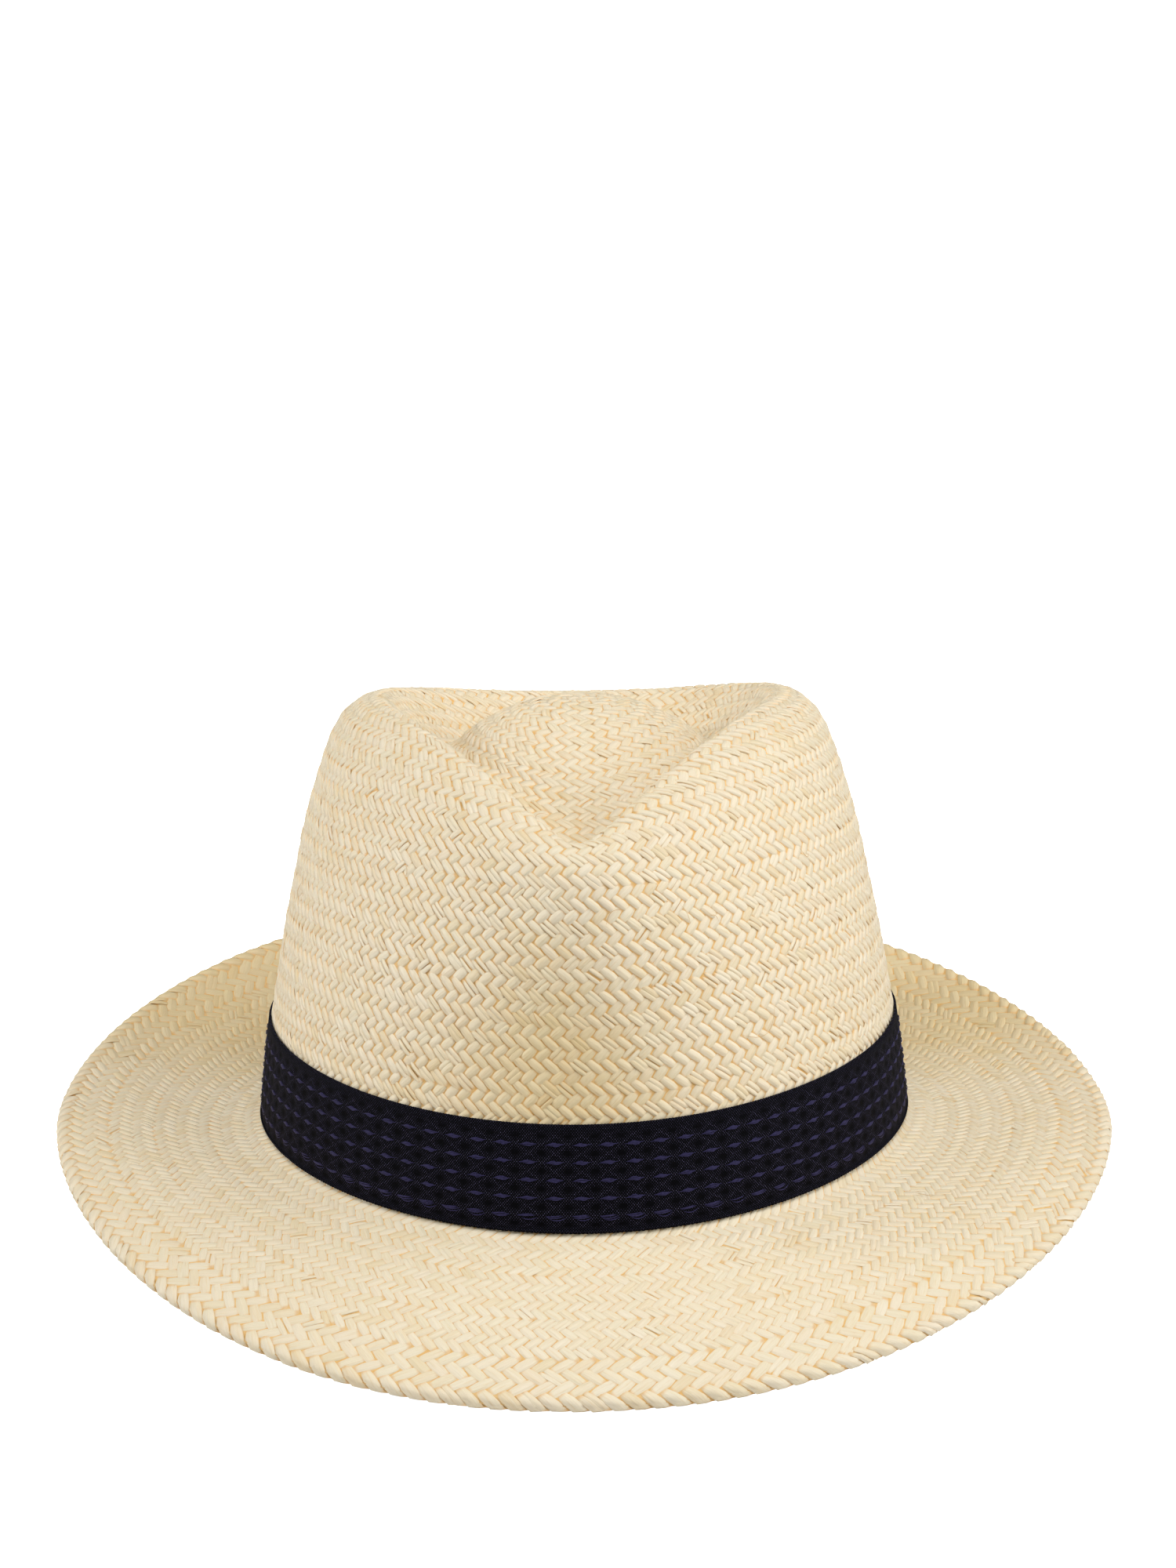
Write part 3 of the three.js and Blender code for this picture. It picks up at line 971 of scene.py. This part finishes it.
def woven_sheet():
    """The straw's sheet, worked out once."""
    if "sheet" not in shared:
        shared["sheet"] = WovenSheet(settings("hat_form"))
    return shared["sheet"]


def begun(stream):
    """What a step of weaving starts from: the sheet, the weave's settings and its own draws."""
    weave = settings("straw_weave")
    return woven_sheet(), weave, np.random.default_rng(weave.seed + stream)


class WeaveCrown(bpy.types.Operator):
    """Weaves the outside of the crown, tip and wall"""

    bl_idname = "hat.weave_crown"
    bl_label = "Weave crown"

    def execute(self, context):
        sheet, weave, draw = begun(0)
        material = strand_finish("crown_straw", settings("hat_colours"), 1.0)
        tip, wall = crown_rows(sheet, weave)
        under_ribbon = round(settings("hat_form").band_height / weave.crown_row) - 1
        split_share = weave.split_share
        for name, rows, parted, lift, sparse in (
            ("straw_tip", tip, split_share, weave.crown_lift, False),
            ("straw_wall", wall[:-under_ribbon], split_share, weave.crown_lift, False),
            ("straw_wall_covered", wall[-under_ribbon:], 0.0, weave.brim_lift, True),
        ):
            strands = herringbone(rows, CROWN_DOWN, CROWN_UP)
            strand_piece(name, strands, draw, parted, lift, material, sparse)
        return {"FINISHED"}


class WeaveBrim(bpy.types.Operator):
    """Weaves the top of the brim, its border and its plaited edge"""

    bl_idname = "hat.weave_brim"
    bl_label = "Weave brim"

    def execute(self, context):
        sheet, weave, draw = begun(1)
        material = strand_finish("brim_straw", settings("hat_colours"), 0.8)
        shared["brim_straw"] = material
        top = herringbone(brim_rows(sheet, weave), FLAT, FLAT)
        border, edge, under = border_strands(sheet, weave)
        for name, strands, parted, lift in (
            ("straw_brim", top, weave.split_share, 1.0),
            ("straw_border", border, weave.split_share, 1.0),
            ("straw_edge", edge, weave.split_share, 1.4),
            ("straw_border_under", under, 0.0, 0.7),
        ):
            strand_piece(name, strands, draw, parted, weave.brim_lift * lift, material)
        return {"FINISHED"}


class WeaveInside(bpy.types.Operator):
    """Weaves the underside of the brim and the inside of the crown"""

    bl_idname = "hat.weave_inside"
    bl_label = "Weave inside"

    def execute(self, context):
        sheet, weave, draw = begun(2)
        tip, wall = crown_rows(sheet, weave)
        for name, rows in (
            ("straw_brim_under", brim_rows(sheet, weave)),
            ("straw_wall_inside", wall),
            ("straw_tip_inside", tip),
        ):
            strands = mirrored_inside(sheet, herringbone(rows, FLAT, FLAT))
            strand_piece(name, strands, draw, 0.0, weave.brim_lift, shared["brim_straw"], True)
        return {"FINISHED"}


class FillCore(bpy.types.Operator):
    """Closes the weave from behind with its core"""

    bl_idname = "hat.fill_core"
    bl_label = "Fill core"

    def execute(self, context):
        sheet, weave = woven_sheet(), settings("straw_weave")
        core_shell(sheet, weave.core_depth, core_finish(settings("hat_colours")))
        return {"FINISHED"}


def tube(path, radii, sides, closed):
    """Points and quads of a round tube along a path of points. Each ring stands square to the path
    on a frame made of the path's direction and the outward way that the path brings along."""
    points, out = path
    if closed:
        ahead = np.roll(points, -1, axis=0) - np.roll(points, 1, axis=0)
    else:
        ahead = np.gradient(points, axis=0)
    ahead = unit(ahead)
    out = unit(out - ahead * (out * ahead).sum(-1, keepdims=True))
    aside = np.cross(ahead, out)
    turn = 2 * np.pi * np.arange(sides) / sides
    ring = out[:, None] * np.cos(turn)[None, :, None] + aside[:, None] * np.sin(turn)[None, :, None]
    grid = points[:, None] + ring * radii[:, None, None]
    if closed:
        quads = grid_quads(len(points) + 1, sides, wrapped=True) % (len(points) * sides)
    else:
        quads = grid_quads(len(points), sides, wrapped=True)
    return grid.reshape(-1, 3), quads[:, ::-1]


class LooseFibres(bpy.types.Operator):
    """Lays the hairs that have come loose from the straw, two of them at places of their own"""

    bl_idname = "hat.loose_fibres"
    bl_label = "Loose fibres"

    def execute(self, context):
        sheet, _, draw = begun(3)
        count, steps, sides, radius, clear = 46, 9, 5, 0.00007, 0.00045
        level = draw.uniform(0.02, sheet.edge_level - 0.01, count)
        way = draw.random(count)
        level[:2] = sheet.crown - np.array([0.052, 0.041])
        way[:2] = (-0.022, 0.078)
        at_ribbon = (level > sheet.crown - 0.034) & (level < sheet.crown + 0.008)
        level = np.where(at_ribbon, level * 0.7, level)
        turn = draw.uniform(-np.pi, np.pi, count)
        turn[:2] = (1.0, -0.4)
        size = draw.uniform(0.0025, 0.006, count)
        size[:2] = (0.0055, 0.0135)
        bow = draw.normal(0, 0.25, count)
        s = np.linspace(0, 1, steps)
        across = bow[:, None] * np.sin(np.pi * s)[None, :]
        run = size[:, None] * s[None, :]
        curl = size[:, None] * across
        down = run * np.sin(turn)[:, None] + curl * np.cos(turn)[:, None]
        over = run * np.cos(turn)[:, None] - curl * np.sin(turn)[:, None]
        ring = np.array([sheet.ring_length(each) for each in level])
        point, normal = sheet.at(level[:, None] + down, way[:, None] + over / ring[:, None])
        rise = draw.uniform(0.0001, 0.0009, count)
        stand = clear + rise[:, None] * np.sin(np.pi * s)[None, :]
        path = point + normal * stand[..., None]
        taper = radius * np.sin(np.pi * (0.08 + 0.84 * s))
        grids = [tube((path[k], normal[k]), taper, sides, False) for k in range(count)]
        points = np.concatenate([grid for grid, _ in grids])
        quads = np.concatenate([q + k * steps * sides for k, (_, q) in enumerate(grids)])
        ends = np.arange(count)[:, None] * steps * sides + np.arange(sides)[None, :]
        caps = [ends, (ends + (steps - 1) * sides)[:, ::-1]]
        material = fibre_finish(settings("hat_colours"))
        new_piece("loose_fibres", points, [quads, *caps], material)
        return {"FINISHED"}


# --- The ribbon ---------------------------------------------------------------------------------


class RibbonSheet:
    """The straw's face under the ribbon, from the ribbon's top to its lower edge."""

    def __init__(self, sheet):
        levels = np.linspace(0, 1, 61)
        self.rings, self.height = even_rings(sheet.curve, BAND_TOP, FOOT, levels, 1056)
        self.normals = outward(self.rings)
        self.around = length_round(self.rings[30])

    def at(self, down, way):
        """Points and normals at shares of the way down and round the ribbon."""
        row = np.clip(down, 0, 1) * (len(self.rings) - 1)
        return between_rings((self.rings, self.normals), row, way)


def figure_relief(cloth, down_m, way):
    """How the ribbon's ground stands: hollows half-way between the figures, and low mounds that
    carry the figures. Both are bells of the distance in columns and rows."""
    column, row = way * cloth.columns, (down_m - cloth.first_row) / cloth.row_spacing
    inside = (row > -0.9) & (row < cloth.rows - 0.1)

    def bell(shift, wide, high):
        aside, over = (column + shift) % 1.0 - 0.5, (row + shift) % 1.0 - 0.5
        return np.exp(-(aside**2 / wide + over**2 / high))

    mounds, pits = bell(0.5, 0.06, 0.02), bell(0.0, 0.022, 0.04)
    return inside * (0.4 * mounds - pits) * cloth.pit_depth


def ribbon_finish(colours, cloth, height):
    """Plain weave with staggered thread crossings whose glints are painted highlights, more of them
    on the slanting lines between the figures and none in the hollows."""
    ribbon = Finish("ribbon_cloth")
    way, down = ribbon.parts(ribbon.uv("weave"))
    column = way * float(cloth.columns)
    row = (down * height - cloth.first_row) / cloth.row_spacing
    across = (column * (2 * math.pi * cloth.dots)).sine()
    along = (down * (math.pi * height / cloth.dot_row)).sine()
    dots = (across * along).ramp(0.3, 0.85)
    grain = ribbon.noise(ribbon.scaled(ribbon.uv("weave"), (900.0, 42.0, 1.0)), 1.0, 2.0)
    crossing = dots * grain.ramp(0.3, 0.72, 0.25, 1.0)
    slant_up = ((column + row + 0.5) * math.pi).sine().absolute()
    slant_down = ((column - row + 0.5) * math.pi).sine().absolute()
    lines = (slant_up.ramp(0.34, 0.05) + slant_down.ramp(0.34, 0.05)).clamped()
    pit_a = ((column * math.pi).sine() ** 2.0) * ((row * math.pi).sine() ** 2.0)
    within = row.ramp(-0.75, -0.45) * row.ramp(cloth.rows - 0.25, cloth.rows - 0.55)
    pits = pit_a.ramp(0.6, 0.88) * within
    # Painted highlights: glints of the thread crossings, stronger on the slanting lines and left
    # out of the hollows.
    painted_glint = crossing * (0.6 + 0.9 * (lines * within)) * (1 - 0.9 * pits)
    shown = ribbon.mix(painted_glint.clamped(), colours.ribbon_ground, colours.ribbon_glint)
    ribbon.surface(Base_Color=shown, Roughness=0.8, Specular_IOR_Level=0.05)
    ribbon.raised(dots * 0.8 + lines * 0.4, 0.00012, 0.8)
    return ribbon.material


def figure_finish(colours):
    """Raised glossy threads of the ribbon, with fine strands along them."""
    figure = Finish("ribbon_figures")
    streaks = figure.noise(figure.scaled(figure.uv("thread"), (1.5, 9.0, 1.0)), 1.0, 2.0)
    dark = tuple(0.45 * c for c in colours.ribbon_figure)
    shown = figure.mix(streaks.ramp(0.35, 0.65), dark, colours.ribbon_figure)
    figure.surface(Base_Color=shown, Roughness=0.5, Specular_IOR_Level=0.1)
    figure.raised(streaks, 0.00005)
    return figure.material


class WrapRibbon(bpy.types.Operator):
    """Wraps the figured ribbon round the crown, with its raised threads and its corded edge"""

    bl_idname = "hat.wrap_ribbon"
    bl_label = "Wrap ribbon"

    def execute(self, context):
        sheet, _, draw = begun(4)
        cloth, colours = settings("ribbon_cloth"), settings("hat_colours")
        under = RibbonSheet(sheet)
        height, around = under.height, under.around
        woven = ribbon_finish(colours, cloth, height)
        band = self.ground(cloth, under, woven)
        figures = self.figures(cloth, under, figure_finish(colours), draw)
        edges = self.edges(cloth, under, woven)
        return {"FINISHED"}

    def ground(self, cloth, under, material):
        """The closed band: outer face with its relief, a rounded turn at both edges, and the inner
        face."""
        way = np.arange(cloth.columns * 6) / (cloth.columns * 6)
        down = np.linspace(0.0, 1.0, 46)
        middle, half = (cloth.inner + cloth.outer) / 2, (cloth.outer - cloth.inner) / 2
        point, normal = under.at(down[:, None], way[None, :])
        relief = figure_relief(cloth, down[:, None] * under.height, way[None, :])
        soft = np.clip(np.minimum(down, 1 - down) / 0.03, 0, 1)[:, None]
        outer = point + normal * (middle + half * np.sqrt(soft) + relief * soft)[..., None]
        inner = point + normal * (middle - half * np.sqrt(soft))[..., None]
        inner = inner[1:-1][::-1]
        grid = np.concatenate([outer, inner])
        rows, columns = grid.shape[:2]
        quads = grid_quads(rows + 1, columns, wrapped=True) % (rows * columns)
        uv_down = np.concatenate([down, down[1:-1][::-1]])
        points = grid.reshape(-1, 3)
        piece = new_piece(
            "ribbon_ground", points, [quads], material, replaces="ribbon_band"
        )
        uv = pairs(way[None, :], uv_down[:, None], (rows, columns))[quads]
        wraps = (uv[..., 0].max(1) - uv[..., 0].min(1)) > 0.5
        uv[..., 0] += wraps[:, None] & (uv[..., 0] < 0.5)
        weave = piece.data.uv_layers.new(name="weave")
        weave.data.foreach_set("uv", uv.astype(np.float32).ravel())
        return piece

    def figures(self, cloth, under, material, draw):
        """Each figure is four or five threads side by side, the middle ones longer, so that
        together they make a slanting leaf. Those of the lowest row have parted and hang in
        bows."""
        column, row = np.meshgrid(np.arange(cloth.columns), np.arange(cloth.rows))
        column, row = column.reshape(-1, 1), row.reshape(-1, 1)
        lowest = row == cloth.rows - 1
        count = (len(column), 5)
        place = (np.arange(5)[None, :] - 2) / 2
        size = 1 - 0.6 * np.abs(place) + draw.normal(0, 0.05, count)
        size = np.where(lowest, 0.86 - 0.1 * np.abs(place) + draw.normal(0, 0.06, count), size)
        shift = 0.2 * place + draw.normal(0, 0.03, count)
        spread = np.where(lowest, 1.45, 1.0) * (1 + draw.normal(0, 0.08, (len(column), 1)))
        hanging = 0.36 + draw.normal(0, 0.1, count)
        bow = np.where(lowest, hanging, draw.normal(0, 0.04, count))
        missing = (np.arange(5)[None, :] == 3) | (draw.random(count) < 0.12)
        shown = ~(lowest & missing)
        half_thread = np.where(lowest, 0.00014, 0.00012)
        column, row, place, size, shift, spread, bow, half_thread = (
            numbers[..., None, None]
            for numbers in (column, row, place, size, shift, spread, bow, half_thread)
        )
        s = np.linspace(-1, 1, 6)[None, None, :, None]
        w = np.array([-1.0, 0.0, 1.0])[None, None, None, :]
        pointed = 1 - np.abs(s) ** 2.4 * 0.8
        drop = place * 2 * (cloth.figure_height / 4) * spread * (1 - 0.45 * s**2)
        drop = drop + 0.0009 * bow * (1 - s**2) - 0.00016 * s
        x = s * (cloth.figure_length / 2 * size) + shift * cloth.figure_length / 2
        down_m = cloth.first_row + row * cloth.row_spacing + drop + w * half_thread * pointed
        way = (column + x * cloth.columns / under.around) / cloth.columns
        down_m, way = np.broadcast_arrays(down_m, way)
        point, normal = under.at(down_m / under.height, way)
        relief = figure_relief(cloth, down_m, way)
        arch = 0.00024 * np.sqrt(np.clip(1 - s**2, 0, 1)) - 0.00006 + 0.00009 * (1 - np.abs(w))
        point = point + normal * (cloth.outer + relief + arch)[..., None]
        point = point[shown]
        quads = many_quads(*point.shape[:3])[:, ::-1]
        start = draw.random(len(point))[:, None, None] * 30
        shape = point.shape[:3]
        uv = pairs(start + s[0] * 2, start + w[0] * 0.16, shape)
        points = point.reshape(-1, 3)
        return new_piece("ribbon_figures", points, [quads], material, uv={"thread": uv})

    def edges(self, cloth, under, material):
        """Beaded cord along the lower edge and a thin selvedge along the top one: tubes whose
        radius swells and narrows with every bead."""
        edges = []
        sides = 8
        for name, down, radius, beads in (
            ("ribbon_lower_cord", 0.992, cloth.cord_radius, 560),
            ("ribbon_top_selvedge", 0.006, cloth.cord_radius * 0.72, 700),
        ):
            steps = beads * 4
            way = np.arange(steps) / steps
            point, normal = under.at(np.full(steps, down), way)
            middle = (cloth.inner + cloth.outer) / 2
            swell = radius * (1 + 0.16 * np.sin(2 * np.pi * beads * way))
            path = (point + normal * (middle + 0.1 * radius), normal)
            grid, quads = tube(path, swell, sides, True)
            turned = down + 0.02 * np.arange(sides) / sides
            uv = pairs(way[:, None], turned[None, :], (steps, sides))
            edges.append(new_piece(name, grid, [quads], material, uv={"weave": uv}))
        return edges


# --- The studio ---------------------------------------------------------------------------------


AIM = (0, 0, 0.06)  # where the lights are aimed
LIGHTS = {  # place and size of each
    "left": ((-1.2, 0, 0.5), 0.4),
    "right": ((1.25, 0.15, 0.8), 1.1),
    "top": ((0, 0, 1.6), 0.6),
    "front": ((0, -0.75, 1.35), 0.9),
    "corner": ((1.1, -1.0, 0.6), 0.9),
}


def area_light(name, place, size, power):
    """A square soft light at a place."""
    data = bpy.data.lights.new(name, "AREA")
    data.shape = "SQUARE"
    data.size = size
    data.energy = power
    light = placed(name, data)
    light.location = place
    light.rotation_mode = "QUATERNION"
    light.rotation_quaternion = (Vector(AIM) - Vector(place)).to_track_quat("-Z", "Y")


def studio_floor(glow):
    """White floor that runs on behind the hat and turns up into a wall: a profile carried
    straight across. It glows to the camera alone, so that it's seen as white without a shadow and
    throws no light of its own on the hat."""
    bend = np.linspace(0, np.pi / 2, 13)
    flat = np.array([[-4.0, 0.0], [0.0, 0.0], [4.0, 0.0]])
    curve = np.stack([4.0 + 2.0 * np.sin(bend), 2.0 - 2.0 * np.cos(bend)], -1)[1:]
    profile = np.concatenate([flat, curve, [[6.0, 5.0]]])
    across = np.linspace(-6.0, 6.0, 3)
    grid = np.zeros((len(profile), len(across), 3))
    grid[..., 0] = across[None, :]
    grid[..., 1:] = profile[:, None, :]
    quads = grid_quads(len(profile), len(across))[:, ::-1]
    paper = Finish("studio_paper")
    grain = paper.noise(paper.node("ShaderNodeTexCoord", output=3), 60.0)
    shade = paper.mix(grain.ramp(0.3, 0.7), (0.86, 0.86, 0.86), (0.88, 0.88, 0.88))
    paper.surface(Base_Color=shade, Roughness=0.9, Specular_IOR_Level=0.1)
    seen = paper.node("ShaderNodeLightPath")
    paper.surface(Emission_Color=paper.mix(seen, (0.0, 0.0, 0.0), (1.0, 1.0, 1.0)))
    paper.surface(Emission_Strength=glow)
    mesh = bpy.data.meshes.new("studio_floor")
    mesh.from_pydata(grid.reshape(-1, 3).tolist(), [], quads.tolist())
    mesh.polygons.foreach_set("use_smooth", np.ones(len(mesh.polygons), bool))
    mesh.materials.append(paper.material)
    floor = placed("studio_floor", mesh)


def studio_camera(studio):
    """Camera on a sphere round the origin. Its line of sight is turned up and aside from the
    origin, so that the hat lies low in the frame, and it rolls a little."""
    up_angle, round_angle = studio.elevation, studio.azimuth
    right = Vector((math.cos(round_angle), -math.sin(round_angle), 0))
    level = Vector((math.sin(round_angle), math.cos(round_angle), 0))
    forward = level * math.cos(up_angle) - Vector((0, 0, math.sin(up_angle)))
    up = level * math.sin(up_angle) + Vector((0, 0, math.cos(up_angle)))
    rolled_right = right * math.cos(studio.roll) - up * math.sin(studio.roll)
    rolled_up = right * math.sin(studio.roll) + up * math.cos(studio.roll)
    sight = forward * math.cos(studio.aim_up) + rolled_up * math.sin(studio.aim_up)
    sight = (sight + rolled_right * math.tan(studio.aim_side)).normalized()
    top = (rolled_up - sight * rolled_up.dot(sight)).normalized()
    side = sight.cross(top)
    data = bpy.data.cameras.new("studio_camera")
    data.lens = studio.lens
    data.clip_start, data.clip_end = 0.01, 50
    camera = placed("studio_camera", data)
    camera.matrix_world = Matrix.Translation(-forward * studio.distance) @ Matrix(
        (side, top, -sight)
    ).transposed().to_4x4()
    bpy.context.scene.camera = camera


class SetStudio(bpy.types.Operator):
    """Sets the floor, the lights and the camera"""

    bl_idname = "hat.set_studio"
    bl_label = "Set studio"

    def execute(self, context):
        studio = settings("hat_studio")
        studio_floor(studio.floor_glow)
        for side, (place, size) in LIGHTS.items():
            area_light(f"{side}_light", place, size, getattr(studio, f"{side}_power"))
        world = bpy.data.worlds.new("studio_surround")
        world.use_nodes = True
        background = world.node_tree.nodes["Background"]
        background.inputs["Color"].default_value = (1, 1, 1, 1)
        background.inputs["Strength"].default_value = studio.surround
        bpy.context.scene.world = world
        bpy.context.scene.view_settings.view_transform = "Standard"
        studio_camera(studio)
        return {"FINISHED"}


class HatPanel(bpy.types.Panel):
    """The steps that make the hat"""

    bl_idname = "VIEW3D_PT_trilby_hat"
    bl_label = "Trilby panama hat"
    bl_space_type = "VIEW_3D"
    bl_region_type = "UI"
    bl_category = "Hat"

    def draw(self, context):
        for step in STEPS_IN_ORDER:
            self.layout.operator(step.bl_idname)
        for name in GROUPS:
            group = getattr(context.scene, name)
            box = self.layout.box()
            for key in group.bl_rna.properties.keys():
                if key not in ("rna_type", "name"):
                    box.prop(group, key)


STEPS_IN_ORDER = (SetStudio, FillCore, WeaveCrown, WeaveBrim, WeaveInside, LooseFibres, WrapRibbon)


def register():
    for group in GROUPS.values():
        bpy.utils.register_class(group)
    for name, group in GROUPS.items():
        setattr(bpy.types.Scene, name, PointerProperty(type=group))
    for step in STEPS_IN_ORDER:
        bpy.utils.register_class(step)
    bpy.utils.register_class(HatPanel)


def unregister():
    bpy.utils.unregister_class(HatPanel)
    for step in reversed(STEPS_IN_ORDER):
        bpy.utils.unregister_class(step)
    for name in GROUPS:
        delattr(bpy.types.Scene, name)
    for group in reversed(list(GROUPS.values())):
        bpy.utils.unregister_class(group)


def main():
    register()
    bpy.ops.hat.set_studio()
    bpy.ops.hat.fill_core()
    bpy.ops.hat.weave_crown()
    bpy.ops.hat.weave_brim()
    bpy.ops.hat.weave_inside()
    bpy.ops.hat.loose_fibres()
    bpy.ops.hat.wrap_ribbon()


if __name__ == "__main__":
    main()
